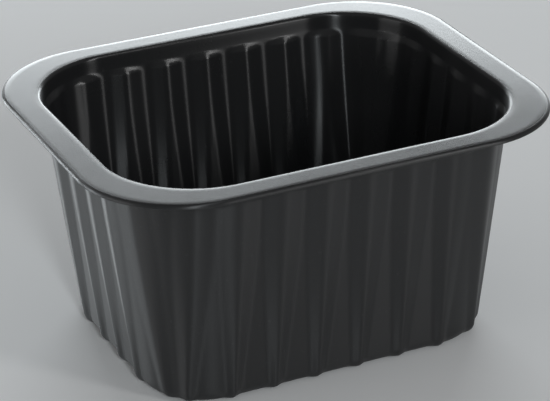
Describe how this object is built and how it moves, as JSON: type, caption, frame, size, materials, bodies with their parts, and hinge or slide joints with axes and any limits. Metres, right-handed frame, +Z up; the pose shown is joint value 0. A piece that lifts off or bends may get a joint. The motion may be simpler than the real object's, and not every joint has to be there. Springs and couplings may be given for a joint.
{
  "type": "plastic meal tray",
  "caption": "Deep one-piece thermoformed tray with rounded corners, a flat sealing rim all round and fluted tapering walls, open at the top, for holding a chilled or ready meal.",
  "frame": {"origin": "middle of the underside of the flat base", "axes": "+X along the tray's long side, +Y across it, +Z up out of the open mouth"},
  "size_m": [0.162, 0.1324, 0.082],
  "materials": {
    "black_plastic": "satin black polypropylene, fine even grain"
  },
  "bodies": {
    "root": {"tray": "black_plastic"}
  },
  "joints": []
}
